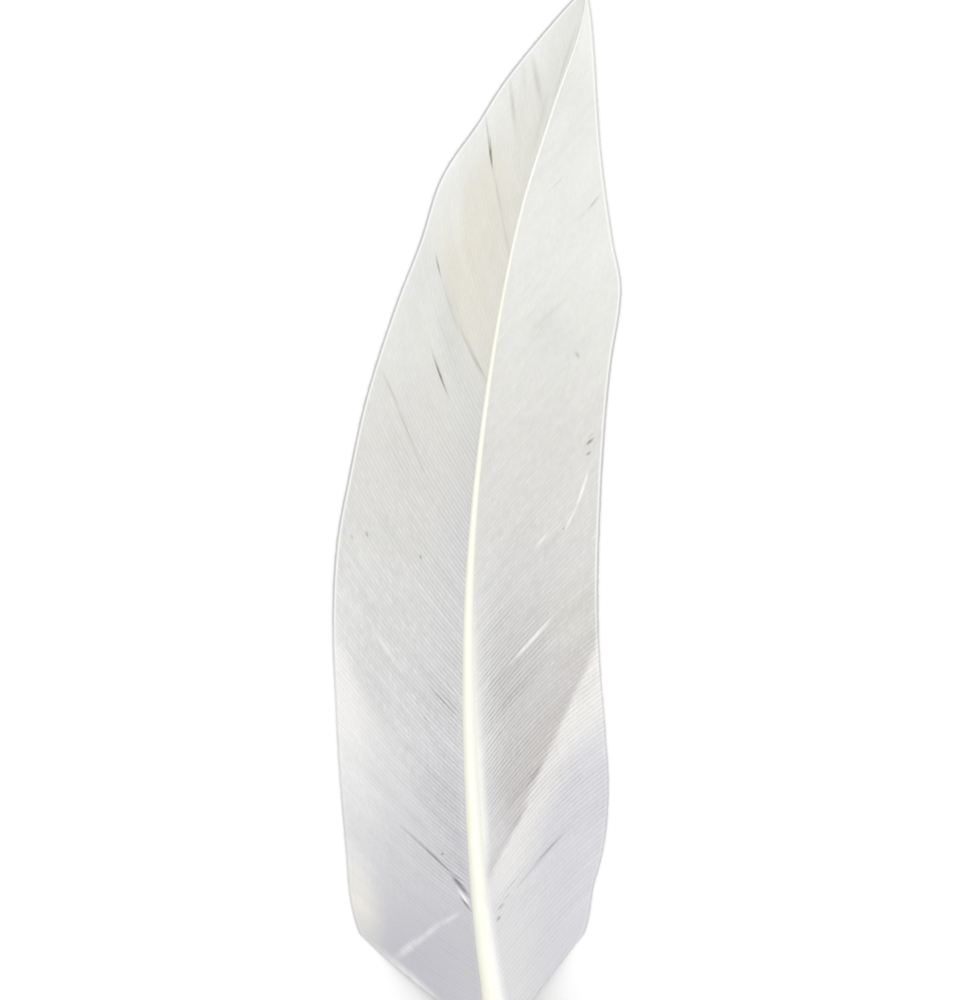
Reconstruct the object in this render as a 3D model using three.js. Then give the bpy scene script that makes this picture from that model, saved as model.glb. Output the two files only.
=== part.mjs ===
import * as THREE from "three";

// A goose's wing quill, lying on a surface with its upper side up.
// Millimetres. +Y runs from the quill's end to the feather's tip, +X to the right seen from above,
// +Z up from the surface. Distances across and along are first taken from the quill's end, and the
// whole feather is centred on its box at the end of this file.

// ---- Driving dimensions ----------------------------------------------------------------------

const SHAFT_END = 177; // how far along the shaft its thin end lies
const VANE_FOOT = 42; // how far along the shaft the vanes start
const ARCH = 4; // how high the middle of the shaft's underside stands off the surface
const ARCH_LEAN = 0.9; // below 1, the arch is highest nearer the quill's end

// Shaft centre: [along, across]
const SHAFT_LINE = [
  [0, 6.0],
  [20, 3.6],
  [40, 1.0],
  [58.3, -1.5],
  [71, -2.5],
  [85.1, -3.1],
  [98.5, -3.1],
  [111.9, -2.3],
  [125.3, -0.8],
  [138.7, 1.3],
  [152.1, 4.2],
  [165.5, 8.4],
  [SHAFT_END, 12.2],
];

// Shaft width: [along, width]
const SHAFT_WIDTH = [
  [0, 1.5],
  [2.5, 2.3],
  [12, 3.0],
  [28, 3.4],
  [44, 3.1],
  [58.3, 2.45],
  [85.1, 1.75],
  [98.5, 1.3],
  [111.9, 0.95],
  [138.7, 0.56],
  [SHAFT_END, 0.24],
];
const SHAFT_DEPTH_RATIO = 1.1; // depth over width

// Outer edge of each vane, from below its lowest barb's end to the feather's tip: [along, across]
const LEFT_EDGE = [
  [50.7, -16.2],
  [54.7, -17.9],
  [58.3, -18.9],
  [65.7, -19.6],
  [75, -20.4],
  [85.8, -21],
  [96.5, -21.4],
  [107.2, -20.8],
  [115.9, -19.2],
  [126, -17],
  [139.4, -12.7],
  [147.4, -9.9],
  [155, -7.3],
  [158, -5.9],
  [168.8, 1.3],
  [176.9, 8],
  [181.8, 12.5],
];
const RIGHT_EDGE = [
  [48.1, 9.3],
  [51.3, 11.0],
  [55.2, 12.7],
  [60.7, 13.7],
  [65.7, 15],
  [73.7, 15.7],
  [81.1, 15.3],
  [91.8, 14.5],
  [100.5, 14.3],
  [111.2, 14.6],
  [120.6, 15.1],
  [131.3, 16.1],
  [138, 17.2],
  [141.5, 17.4],
  [147.4, 16.3],
  [159.5, 14.7],
  [172.9, 13.8],
  [177.5, 13.4],
  [181.6, 12.95],
];

// Angle between the feather's length and a barb, by where the barb leaves the shaft: [along, degrees]
const LEFT_TILT = [
  [VANE_FOOT, 54],
  [50, 51.5],
  [60, 48],
  [72, 42.5],
  [86, 37.5],
  [100, 32],
  [112, 25.5],
  [139, 11.5],
  [155, 8],
  [170, 8],
  [175, 3],
  [SHAFT_END, -8],
];
const RIGHT_TILT = [
  [VANE_FOOT, 39.5],
  [47, 42],
  [60, 43.5],
  [100, 43],
  [126, 41],
  [167, 40],
  [174, 33],
  [SHAFT_END, 4],
];

// How far a barb bows towards the quill, as a share of its length: [along, share]
const LEFT_BOW = [
  [VANE_FOOT, 0.04],
  [60, 0.03],
  [85, 0.025],
  [125, 0.04],
  [160, 0.04],
  [SHAFT_END, 0],
];
const RIGHT_BOW = [
  [VANE_FOOT, 0],
  [50, -0.03],
  [64, -0.05],
  [78, -0.04],
  [95, -0.015],
  [110, 0],
  [SHAFT_END, 0],
];

const VANE_THICKNESS = 0.6; // beside the shaft
const EDGE_THICKNESS = 0.4; // at the outer edge
const FLAT_MARGIN = 0.1; // outer share of each barb that lies flat on the surface
const VANE_SEAT = 0.3; // height of the vanes' roots above the shaft's middle, as a share of half its depth
const ROOT_GAP = 0.3; // clearance between the shaft and what grows beside it

const DOWN_FOOT = 31; // how far along the shaft the down starts
const DOWN_TOP = 40.7; // and where it ends, just short of the vanes
const DOWN_LENGTH_FOOT = 6; // lowest downy barbs
const DOWN_LENGTH_TOP = 10.5; // and the highest
const DOWN_TILT_FOOT = 98; // degrees from the feather's length, lowest barbs
const DOWN_TILT_TOP = 72; // and the highest
const DOWN_THICKNESS = 2.2; // loft of the tuft at its fullest
const DOWN_EDGE_LOFT = 0.4; // loft at the shaft and at the tips, as a share of the fullest
const DOWN_DROOP = 1.8; // how far the tips hang below the roots

// ---- The feather's lines ---------------------------------------------------------------------

// A smooth function through [position, value] stations.
function through(stations) {
  const positions = stations.map(([position]) => position);
  const values = stations.map(([, value]) => value);
  const line = new THREE.CubicInterpolant(positions, values, 1, new Float64Array(1));
  return (position) => line.evaluate(position)[0];
}

const shaftAcross = through(SHAFT_LINE);
const shaftWidth = through(SHAFT_WIDTH);

// Height of the shaft's underside.
function archHeight(along) {
  return ARCH * Math.sin(Math.PI * Math.pow(along / SHAFT_END, ARCH_LEAN));
}

// Height of the shaft's middle.
function shaftHeight(along) {
  return archHeight(along) + 0.5 * shaftWidth(along) * SHAFT_DEPTH_RATIO;
}

// Where something on one side starts beside the shaft.
function rootAcross(side, along) {
  return shaftAcross(along) + side * (0.5 * shaftWidth(along) + ROOT_GAP);
}

// Height of the middle of the web where it leaves the shaft.
function rootHeight(along) {
  const halfDepth = 0.5 * shaftWidth(along) * SHAFT_DEPTH_RATIO;
  return shaftHeight(along) + VANE_SEAT * halfDepth;
}

// ---- Bending plain solids into shape ---------------------------------------------------------

// Moves every vertex of a geometry by place(x, y, z).
function bend(geometry, place) {
  const position = geometry.getAttribute("position");
  for (let i = 0; i < position.count; i += 1) {
    const moved = place(position.getX(i), position.getY(i), position.getZ(i));
    position.setXYZ(i, moved.x, moved.y, moved.z);
  }
  geometry.computeVertexNormals();
  return geometry;
}

// ---- Shaft -----------------------------------------------------------------------------------

const SHAFT_SIDES = 12;
const SHAFT_STEPS = 60;

// A unit cylinder along Y, bent along the shaft's line and tapered to its width and depth.
function shaftGeometry() {
  const rod = new THREE.CylinderGeometry(1, 1, 1, SHAFT_SIDES, SHAFT_STEPS);
  return bend(rod, (x, y, z) => {
    const along = (y + 0.5) * SHAFT_END;
    const halfWidth = 0.5 * shaftWidth(along);
    const halfDepth = halfWidth * SHAFT_DEPTH_RATIO;
    return new THREE.Vector3(
      shaftAcross(along) + x * halfWidth,
      along,
      shaftHeight(along) + z * halfDepth,
    );
  });
}

// ---- Vanes -----------------------------------------------------------------------------------

const VANE_COLUMNS = 10; // from the shaft to the edge
const VANE_ROWS = 50; // from the foot to the tip
const HALVINGS = 40; // steps in the search for a barb's end

// One side's barbs: where each leaves the shaft, where it ends and how it runs between.
function barbs(side, edgeStations, tiltStations, bowStations) {
  const edgeAcross = through(edgeStations);
  const tilt = through(tiltStations);
  const bow = through(bowStations);
  const lowestEdge = edgeStations[0][0];
  const tipAlong = edgeStations.at(-1)[0];

  // The barb that leaves the shaft at rootAlong ends where its straight line meets the outer edge.
  function endAlong(rootAlong) {
    const lean = Math.tan(THREE.MathUtils.degToRad(tilt(rootAlong)));
    const root = rootAcross(side, rootAlong);
    let low = Math.max(rootAlong, lowestEdge);
    let high = tipAlong;
    for (let i = 0; i < HALVINGS; i += 1) {
      const middle = 0.5 * (low + high);
      const reach = side * (edgeAcross(middle) - root);
      if (lean * (middle - rootAlong) < reach) low = middle;
      else high = middle;
    }
    return low;
  }

  // A point in plan on the barb of a root, a share of the way out.
  return (rootAlong, share) => {
    const root = new THREE.Vector2(rootAcross(side, rootAlong), rootAlong);
    const endY = rootAlong === SHAFT_END ? tipAlong : endAlong(rootAlong);
    const end = new THREE.Vector2(edgeAcross(endY), endY);
    const run = end.clone().sub(root);
    const towardsQuill = new THREE.Vector2(run.y * side, -run.x * side);
    const swell = 4 * share * (1 - share) * bow(rootAlong);
    return root.addScaledVector(run, share).addScaledVector(towardsQuill, swell);
  };
}

// How much of the root's height is left a share of the way out: an S-shaped fall to the flat margin.
function fall(share) {
  const run = Math.min(share / (1 - FLAT_MARGIN), 1);
  return 0.5 * (1 + Math.cos(Math.PI * run));
}

// A slab of one column for each step outwards and one row for each step along, bent to the barbs.
function vaneGeometry(side, pointOn) {
  const slab = new THREE.BoxGeometry(1, 1, 1, VANE_COLUMNS, VANE_ROWS, 1);
  return bend(slab, (x, y, z) => {
    const share = 0.5 + side * x;
    const rootAlong = THREE.MathUtils.lerp(VANE_FOOT, SHAFT_END, y + 0.5);
    const plan = pointOn(rootAlong, share);
    const thickness = THREE.MathUtils.lerp(VANE_THICKNESS, EDGE_THICKNESS, share);
    const rootUnder = Math.max(rootHeight(rootAlong) - 0.5 * thickness, 0);
    const under = rootUnder * fall(share);
    return new THREE.Vector3(plan.x, plan.y, under + (z + 0.5) * thickness);
  });
}

// ---- Down ------------------------------------------------------------------------------------

const DOWN_COLUMNS = 6;
const DOWN_ROWS = 6;

// The space that one tuft of downy barbs fills: a fan beside the shaft with a rounded outer end.
function downGeometry(side) {
  const slab = new THREE.BoxGeometry(1, 1, 1, DOWN_COLUMNS, DOWN_ROWS, 1);
  return bend(slab, (x, y, z) => {
    const share = 0.5 + side * x;
    const up = y + 0.5;
    const rootAlong = THREE.MathUtils.lerp(DOWN_FOOT, DOWN_TOP, up);
    const tilt = THREE.MathUtils.lerp(DOWN_TILT_FOOT, DOWN_TILT_TOP, up);
    const angle = THREE.MathUtils.degToRad(tilt);
    const length = THREE.MathUtils.lerp(DOWN_LENGTH_FOOT, DOWN_LENGTH_TOP, up);
    const fullness = THREE.MathUtils.lerp(DOWN_EDGE_LOFT, 1, Math.sin(Math.PI * share));
    const loft = DOWN_THICKNESS * fullness;
    return new THREE.Vector3(
      rootAcross(side, rootAlong) + side * Math.sin(angle) * length * share,
      rootAlong + Math.cos(angle) * length * share,
      shaftHeight(rootAlong) - DOWN_DROOP * share * share + z * loft,
    );
  });
}

// ---- Finishes and assembly -------------------------------------------------------------------

const horn = new THREE.MeshStandardMaterial({ color: 0xfbf8e6, roughness: 0.35, metalness: 0 });
const web = new THREE.MeshStandardMaterial({ color: 0xe2e1de, roughness: 0.7, metalness: 0 });
const fluff = new THREE.MeshStandardMaterial({ color: 0xf3f2ee, roughness: 0.9, metalness: 0 });

const feather = new THREE.Group();

// Adds one named piece to the feather, with a finish of its own.
function addPiece(name, geometry, finish) {
  const piece = new THREE.Mesh(geometry, finish.clone());
  piece.name = name;
  feather.add(piece);
}

const LEFT = -1;
const RIGHT = 1;

addPiece("shaft", shaftGeometry(), horn);
addPiece("left_vane", vaneGeometry(LEFT, barbs(LEFT, LEFT_EDGE, LEFT_TILT, LEFT_BOW)), web);
addPiece("right_vane", vaneGeometry(RIGHT, barbs(RIGHT, RIGHT_EDGE, RIGHT_TILT, RIGHT_BOW)), web);
addPiece("left_down", downGeometry(LEFT), fluff);
addPiece("right_down", downGeometry(RIGHT), fluff);

// The origin is the middle of the feather's box, on the surface that it lies on.
const box = new THREE.Box3().setFromObject(feather);
const middle = box.getCenter(new THREE.Vector3());
feather.position.set(-middle.x, -middle.y, -box.min.z);

export default feather;
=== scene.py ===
"""Grows a goose's wing quill feather, barb by barb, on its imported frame."""

import math

import bpy
import numpy as np
from bpy.props import FloatProperty, FloatVectorProperty, IntProperty, PointerProperty
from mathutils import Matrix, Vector


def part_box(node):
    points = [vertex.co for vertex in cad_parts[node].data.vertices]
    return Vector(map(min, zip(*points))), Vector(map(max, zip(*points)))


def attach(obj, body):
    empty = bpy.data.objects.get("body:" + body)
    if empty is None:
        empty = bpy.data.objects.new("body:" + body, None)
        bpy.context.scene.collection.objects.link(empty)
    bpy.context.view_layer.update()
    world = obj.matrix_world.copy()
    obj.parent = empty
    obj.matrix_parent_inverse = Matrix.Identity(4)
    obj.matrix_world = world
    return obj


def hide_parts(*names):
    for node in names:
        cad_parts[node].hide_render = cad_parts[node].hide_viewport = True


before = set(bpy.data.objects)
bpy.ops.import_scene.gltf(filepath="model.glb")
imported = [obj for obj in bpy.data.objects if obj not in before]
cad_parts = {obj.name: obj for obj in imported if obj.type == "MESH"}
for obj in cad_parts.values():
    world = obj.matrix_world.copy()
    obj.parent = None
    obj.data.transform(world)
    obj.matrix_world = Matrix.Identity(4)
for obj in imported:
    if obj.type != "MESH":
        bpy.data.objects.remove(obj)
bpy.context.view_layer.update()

bl_info = {
    "name": "Goose Quill Feather",
    "version": (1, 0, 0),
    "blender": (4, 5, 0),
    "location": "View3D > Sidebar > Feather",
    "description": "Grows a goose's wing quill: shaft, barbed vanes and down",
    "category": "Add Mesh",
}

MM = 0.001  # metres in a millimetre; the feather's lines below are in millimetres
LEFT, RIGHT = -1, 1
SIDE_NAMES = {LEFT: "left", RIGHT: "right"}

# ---- The feather's lines, from the quill's end ----

SHAFT_END = 177.0  # how far along the shaft its thin end lies
HAIR_END = 180.6  # where the hair-thin end runs out between the vanes
VANE_FOOT = 42.0  # how far along the vanes start
TIP_ALONG = 181.8  # the tip of the vanes, past the shaft's end
TIP_ACROSS = 12.7  # how far to the right the tip lies
ARCH = 4.0  # height of the shaft's underside in the middle
ARCH_LEAN = 0.9  # below 1, the arch is highest nearer the quill's end
SHAFT_DEPTH_RATIO = 1.1  # shaft depth over width

# (along, across) of the shaft's centre
SHAFT_LINE = [
    (0, 6.0), (20, 3.6), (40, 1.0), (58.3, -1.5), (71, -2.5), (85.1, -3.1), (98.5, -3.1),
    (111.9, -2.3), (125.3, -0.8), (138.7, 1.3), (152.1, 4.2), (165.5, 8.4), (SHAFT_END, 12.2),
    (TIP_ALONG, TIP_ACROSS),
]
# (along, width) of the shaft
SHAFT_WIDTH = [
    (0, 1.5), (2.5, 2.3), (12, 3.0), (28, 3.4), (44, 3.1), (58.3, 2.45), (85.1, 1.75),
    (98.5, 1.3), (111.9, 0.95), (138.7, 0.56), (SHAFT_END, 0.24), (HAIR_END, 0.1),
]
# (along, across) of each vane's outer edge, from below its lowest barb's end to the tip
VANE_EDGE = {LEFT: [
    (50.7, -16.2), (54.7, -17.9), (58.3, -18.9), (65.7, -19.6), (75, -20.4), (85.8, -21),
    (96.5, -21.4), (107.2, -20.8), (115.9, -19.2), (126, -17), (139.4, -12.7), (147.4, -9.6),
    (155, -7.2), (158, -5.6), (162.7, -2.25), (168.8, 1.65), (176.9, 8.25), (TIP_ALONG, TIP_ACROSS),
], RIGHT: [
    (48.1, 9.3), (51.3, 11.0), (55.2, 12.7), (60.7, 13.7), (65.7, 15), (73.7, 15.7), (81.1, 15.3),
    (91.8, 14.5), (100.5, 14.3), (111.2, 14.6), (120.6, 15.1), (131.3, 16.1), (138, 17.2),
    (141.5, 17.4), (147.4, 16.3), (159.5, 14.7), (172.9, 13.8), (177.5, 13.4),
    (TIP_ALONG, TIP_ACROSS),
]}
# (along, degrees) between the feather's length and the barb that leaves the shaft there
BARB_TILT = {LEFT: [
    (VANE_FOOT, 54), (50, 51.5), (60, 48), (72, 42.5), (86, 37.5), (100, 32), (112, 25.5),
    (139, 11.5), (155, 8), (170, 8), (175, 3), (SHAFT_END, -6),
], RIGHT: [
    (VANE_FOOT, 39.5), (47, 42), (60, 43.5), (100, 43), (126, 41), (167, 40), (174, 33),
    (SHAFT_END, 6),
]}
# (along, share) by which a barb bows towards the quill, as a share of its length
BARB_BOW = {LEFT: [
    (VANE_FOOT, 0.04), (60, 0.03), (85, 0.025), (125, 0.04), (160, 0.04), (SHAFT_END, 0),
], RIGHT: [
    (VANE_FOOT, 0), (50, -0.03), (64, -0.05), (78, -0.04), (95, -0.015), (110, 0), (SHAFT_END, 0),
]}
# (along, distance) between one barb's root and the next
BARB_SPACING = {LEFT: [
    (VANE_FOOT, 0.57), (68, 0.6), (75, 0.65), (90, 0.71), (110, 0.73), (122, 0.82), (150, 1.0),
    (SHAFT_END, 0.8),
], RIGHT: [
    (VANE_FOOT, 0.6), (70, 0.63), (83, 0.67), (107, 0.69), (120, 0.72), (150, 0.9),
    (SHAFT_END, 0.7),
]}

WEB_SEAT = 0.3  # height of the barbs' roots above the shaft's middle, as a share of half its depth
FLAT_MARGIN = 0.1  # outer share of each barb that lies flat
ROOT_DEPTH = 0.08  # how far the barbs' roots are sunk into the shaft
MID_THICKNESS = (0.6, 0.4)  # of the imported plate, beside the shaft and at the edge
FIRST_ROOT = 0.35  # of a barb's spacing, from the vanes' foot to the lowest barb
END_HALVINGS = 30  # steps of the search for where a barb meets the edge
WEB_FAR = 9.0  # distances over the web are only told apart up to here


def through(stations):
    """A smooth function through (position, value) stations, for numbers and arrays."""
    at, value = np.array(stations, float).T
    rise = np.diff(value) / np.diff(at)
    slope = np.concatenate([rise[:1], (rise[1:] + rise[:-1]) / 2, rise[-1:]])

    def line(position):
        i = np.clip(np.searchsorted(at, position) - 1, 0, len(at) - 2)
        width = at[i + 1] - at[i]
        t = np.clip((position - at[i]) / width, 0, 1)
        start = value[i] * (2 * t**3 - 3 * t**2 + 1) + slope[i] * width * (t**3 - 2 * t**2 + t)
        end = value[i + 1] * (3 * t**2 - 2 * t**3) + slope[i + 1] * width * (t**3 - t**2)
        return start + end

    return line


def smooth_step(low, high, x):
    """0 below low, 1 above high, with a smooth climb between."""
    t = np.clip((x - low) / (high - low), 0, 1)
    return t * t * (3 - 2 * t)


shaft_across = through(SHAFT_LINE)
shaft_width = through(SHAFT_WIDTH)


def arch_height(along):
    """Height of the shaft's underside."""
    climb = np.clip(along / SHAFT_END, 0, 1)
    return ARCH * np.sin(np.pi * climb**ARCH_LEAN)


def half_depth(along):
    """Half of the shaft's depth."""
    return 0.5 * shaft_width(along) * SHAFT_DEPTH_RATIO


def shaft_height(along):
    """Height of the shaft's middle."""
    return arch_height(along) + half_depth(along)


def row_offset():
    """What to add to (across, along), in millimetres, to stand in the part's own frame."""
    along = np.linspace(0, SHAFT_END, 2000)
    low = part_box("shaft")[0] / MM
    lowest_across = np.min(shaft_across(along) - 0.5 * shaft_width(along))
    return np.array([low.x - lowest_across, low.y, 0.0])


ROW_OFFSET = row_offset()


class BarbMap:
    """Where the barbs of one side run, in plan and in height."""

    def __init__(self, side):
        self.side = side
        self.edge = through(VANE_EDGE[side])
        self.tilt = through(BARB_TILT[side])
        self.bow = through(BARB_BOW[side])
        self.lowest_edge = VANE_EDGE[side][0][0]

    def roots(self):
        """How far along the shaft each barb grows, and its distance to the next."""
        spacing = through(BARB_SPACING[self.side])
        at = [VANE_FOOT + FIRST_ROOT * spacing(VANE_FOOT)]
        while at[-1] + spacing(at[-1]) < SHAFT_END:
            at.append(at[-1] + spacing(at[-1]))
        return np.array(at), spacing(np.array(at))

    def root_across(self, root):
        """How far across each root lies, a little inside the shaft."""
        return shaft_across(root) + self.side * (0.5 * shaft_width(root) - ROOT_DEPTH)

    def end_along(self, root):
        """How far along the barb of each root meets the vane's outer edge."""
        lean = np.tan(np.radians(self.tilt(root)))
        start = self.root_across(root)
        low = np.maximum(root, self.lowest_edge)
        high = np.full_like(low, TIP_ALONG)
        for _ in range(END_HALVINGS):
            middle = 0.5 * (low + high)
            inside = lean * (middle - root) < self.side * (self.edge(middle) - start)
            low = np.where(inside, middle, low)
            high = np.where(inside, high, middle)
        return low

    def run(self, root):
        """(across, along) from each barb's root to its end."""
        end = self.end_along(root)
        return np.stack([self.edge(end) - self.root_across(root), end - root], -1)

    def plan(self, root, share):
        """(across, along) a share of the way out on the barbs of an array of roots."""
        start = np.stack([self.root_across(root), root], -1)
        run = self.run(root)
        towards_quill = np.stack([run[..., 1], -run[..., 0]], -1) * self.side
        swell = 4 * share * (1 - share) * self.bow(root)
        return start + run * share[..., None] + towards_quill * swell[..., None]

    def height(self, root, share):
        """Height of the web's middle layer."""
        thickness = MID_THICKNESS[0] + (MID_THICKNESS[1] - MID_THICKNESS[0]) * share
        seat = shaft_height(root) + WEB_SEAT * half_depth(root)
        run = np.clip(share / (1 - FLAT_MARGIN), 0, 1)
        fall = 0.5 * (1 + np.cos(np.pi * run))
        return np.maximum(seat - 0.5 * thickness, 0) * fall + 0.5 * thickness

    def edge_distance(self, plan):
        """Distance in plan from each point to the vane's outer edge, up to WEB_FAR."""
        along = plan[..., 1]
        slope = self.edge(along + 0.5) - self.edge(along - 0.5)
        distance = np.abs(self.edge(along) - plan[..., 0]) / np.sqrt(1 + slope**2)
        return np.where(along < self.lowest_edge, WEB_FAR, np.minimum(distance, WEB_FAR))


# ---- Partings, marks and patches, with painted shadow in the slits ----

# Slits where neighbouring barbs have come unhooked: (across, along) of both ends, gap
PARTINGS = {LEFT: [
    ((-0.5, 161.2), (0.1, 156.8), 0.14), ((-7.8, 131.4), (-6.3, 127.2), 0.14),
    ((-5.4, 62.7), (-3.3, 60.1), 0.16),
], RIGHT: [
    ((12.7, 120.0), (13.6, 120.8), 0.10), ((5.9, 64.3), (8.5, 66.8), 0.10),
]}
PARTING_REACH = 2.5  # barbs over which the push beside a slit dies away
MARK_TAPER = 0.2  # how far a mark fades out past each end, as a share of its length
# Dark marks, tapered: (across, along) of both ends, half width, strength
# Those along the partings are painted shadow inside the slits; the others are darker streaks.
DARK_MARKS = {LEFT: [
    ((-0.9, 164.6), (0.1, 157.2), 0.24, 0.4), ((-0.4, 160.6), (0.1, 156.8), 0.24, 0.8),
    ((0.2, 156.8), (1.6, 149.3), 0.30, 0.22), ((1.4, 150.2), (2.5, 144.6), 0.36, 0.18),
    ((2.4, 169.0), (3.2, 162.0), 0.42, 0.26), ((5.4, 172.4), (6.7, 165.4), 0.60, 0.24),
    ((4.2, 172.0), (4.6, 166.0), 0.40, 0.12), ((11.5, 176.6), (8.0, 165.6), 0.32, 0.2),
    ((7.6, 167.5), (5.6, 159.5), 0.60, 0.14), ((-7.55, 145.6), (-6.85, 142.4), 0.24, 0.6),
    ((-6.9, 142.8), (-4.4, 134.6), 0.34, 0.18), ((-4.8, 136.6), (-0.8, 128.4), 0.42, 0.24),
    ((-8.4, 133.6), (-5.3, 125.2), 0.22, 0.3), ((-7.9, 131.9), (-6.0, 126.6), 0.22, 0.8),
    ((-2.9, 132.4), (-0.8, 128.8), 0.34, 0.2), ((-14.7, 129.8), (-12.6, 125.2), 0.26, 0.3),
    ((-13.1, 126.2), (-10.2, 119.0), 0.30, 0.24), ((-10.8, 120.3), (-8.4, 114.8), 0.30, 0.16),
    ((-16.9, 108.4), (-16.6, 107.6), 0.30, 0.5), ((-9.65, 105.3), (-9.4, 104.6), 0.26, 0.55),
    ((-18.9, 108.0), (-18.6, 107.2), 0.26, 0.35), ((-8.6, 87.9), (-4.8, 83.9), 0.18, 0.5),
    ((-6.7, 89.1), (-5.0, 87.0), 0.16, 0.3), ((-6.6, 86.8), (-4.2, 84.0), 0.16, 0.35),
    ((-9.6, 84.3), (-8.2, 82.5), 0.16, 0.25), ((-6.8, 78.9), (-6.0, 77.9), 0.16, 0.25),
    ((-12.3, 69.1), (-7.6, 64.9), 0.28, 0.4), ((-9.2, 66.4), (-5.2, 62.6), 0.28, 0.75),
    ((-5.6, 62.8), (-2.9, 59.6), 0.46, 0.95), ((-4.3, 59.7), (-2.7, 57.7), 0.26, 0.8),
    ((-6.75, 65.5), (-6.45, 65.2), 0.28, 0.8), ((-9.4, 83.6), (-6.4, 78.4), 1.10, 0.07),
    ((-11.6, 71.4), (-8.6, 68.4), 1.10, 0.07),
], RIGHT: [
    ((12.8, 151.4), (14.5, 153.5), 0.26, 0.36), ((11.6, 150.2), (12.6, 151.3), 0.24, 0.12),
    ((5.2, 135.0), (9.8, 139.6), 0.50, 0.08), ((11.2, 132.5), (11.8, 131.5), 0.38, 0.35),
    ((12.6, 119.9), (13.7, 120.9), 0.32, 0.85), ((12.65, 118.5), (13.3, 119.1), 0.28, 0.65),
    ((9.5, 108.6), (9.75, 108.85), 0.22, 0.5), ((3.6, 61.2), (10.2, 68.6), 0.42, 0.22),
    ((5.8, 64.0), (9.3, 67.6), 0.22, 0.42), ((1.5, 60.1), (3.7, 62.5), 0.16, 0.25),
    ((2.9, 60.4), (5.2, 63.0), 0.16, 0.2), ((4.6, 74.3), (7.2, 77.9), 0.34, 0.38),
    ((2.3, 68.0), (5.0, 72.3), 0.38, 0.35), ((1.9, 71.2), (4.6, 74.8), 0.35, 0.16),
    ((0.6, 56.4), (1.2, 57.2), 0.34, 0.5), ((0.8, 57.9), (1.7, 58.9), 0.28, 0.45),
    ((1.6, 59.2), (2.4, 60.1), 0.24, 0.3),
]}
# Marks paler than the web; the first on the left, by the lowest slit, is a painted highlight on its
# edge
PALE_MARKS = {LEFT: [
    ((-4.6, 60.8), (-3.0, 58.6), 0.30, 0.85), ((-12.9, 51.2), (-9.2, 54.2), 0.95, 0.42),
    ((-9.9, 53.4), (-6.6, 56.4), 0.75, 0.36), ((-7.0, 55.8), (-4.2, 57.6), 0.60, 0.32),
    ((-16.1, 95.4), (-11.7, 89.2), 0.50, 0.34), ((-15.8, 52.8), (-5.8, 44.4), 0.90, 0.5),
], RIGHT: [
    ((13.1, 116.8), (11.3, 111.3), 0.30, 0.85), ((11.4, 111.8), (9.6, 108.0), 0.26, 0.6),
    ((5.9, 106.3), (7.5, 108.1), 0.28, 0.6), ((2.3, 90.5), (8.2, 96.9), 0.36, 0.8),
]}
# Soft patches, given like the marks: places in the warm wedge that stay cool or pale, haze on the
# upper web, a cooler streak beside the shaft, the cream foot, and brown, olive and smooth patches
COOL_IN_WEDGE = [((-5.5, 156.0), (-4.7, 146.5), 2.1, 0.8)]
PALE_IN_WEDGE = [((-4.7, 161.5), (-6.0, 155.5), 1.5, 0.8)]
HAZE = {
    LEFT: [((-7.6, 151.5), (-11.6, 133.0), 3.0, 0.32), ((-7.2, 144.0), (-3.4, 124.0), 2.6, 0.4)],
    RIGHT: [((5.0, 137.0), (12.6, 132.0), 4.5, 0.2)],
}
COOL_STREAK = [((-5.0, 118.0), (-5.4, 92.0), 3.4, 0.45)]
CREAM_FOOT = [((-20.2, 66.0), (-15.8, 52.4), 4.0, 0.85)]
BROWN_LINE = [((12.4, 93.6), (0.6, 66.0), 3.0, 0.42), ((12.4, 92.0), (8.8, 89.8), 3.2, 0.3)]
OLIVE_PATCH = [((11.6, 103.0), (10.2, 91.5), 5.0, 0.75)]
SMOOTH_PATCH = [((12.6, 103.2), (7.2, 82.4), 4.8, 0.6)]
# The slanting line on the lower web beyond which its outer margin is paler: from the edge inwards
PALE_MARGIN = {
    LEFT: ((-21.2, 95.8), (-11.4, 77.7)),
    RIGHT: ((13.6, 92.3), (0.5, 63.5)),
}


def parting_shift(barb_map, roots, shares):
    """How far each barb (rows) is pushed along the shaft at each share (columns)."""
    shift = np.zeros((len(roots), len(shares)))
    grid = barb_map.plan(*np.broadcast_arrays(roots[:, None], shares[None, :]))
    for start, end, gap in PARTINGS[barb_map.side]:
        ends = []
        for point in (start, end):
            away = np.linalg.norm(grid - np.array(point), axis=-1)
            ends.append(np.unravel_index(np.argmin(away), away.shape))
        middle = 0.5 * (ends[0][0] + ends[1][0]) + 0.5
        low, high = sorted(shares[e[1]] for e in ends)
        window = np.sin(np.pi * np.clip((shares - low) / (high - low + 0.02), 0, 1))
        steps = np.arange(len(roots)) - middle
        push = np.sign(steps) * np.exp(-np.abs(steps) / PARTING_REACH)
        shift += push[:, None] * window[None, :] * gap
    return shift


# ---- Meshes made of strands ----


SHARP_EDGE = 60  # degrees between faces from which an edge is shaded sharp
# A strand's cell in the unwrapped map, in shares of it: the side margin, the wall's foot and head,
# where the two end strips start, their height, and the radius of an end's disc
CELL_MARGIN = 0.05
WALL_SPAN = (0.06, 0.94)
FOOT_STRIP, HEAD_STRIP, STRIP_HEIGHT = 0.01, 0.96, 0.03
DISC_RADIUS = 0.45
SMALL = 1e-6  # keeps a ring that has shrunk to a point from dividing by nothing


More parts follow.
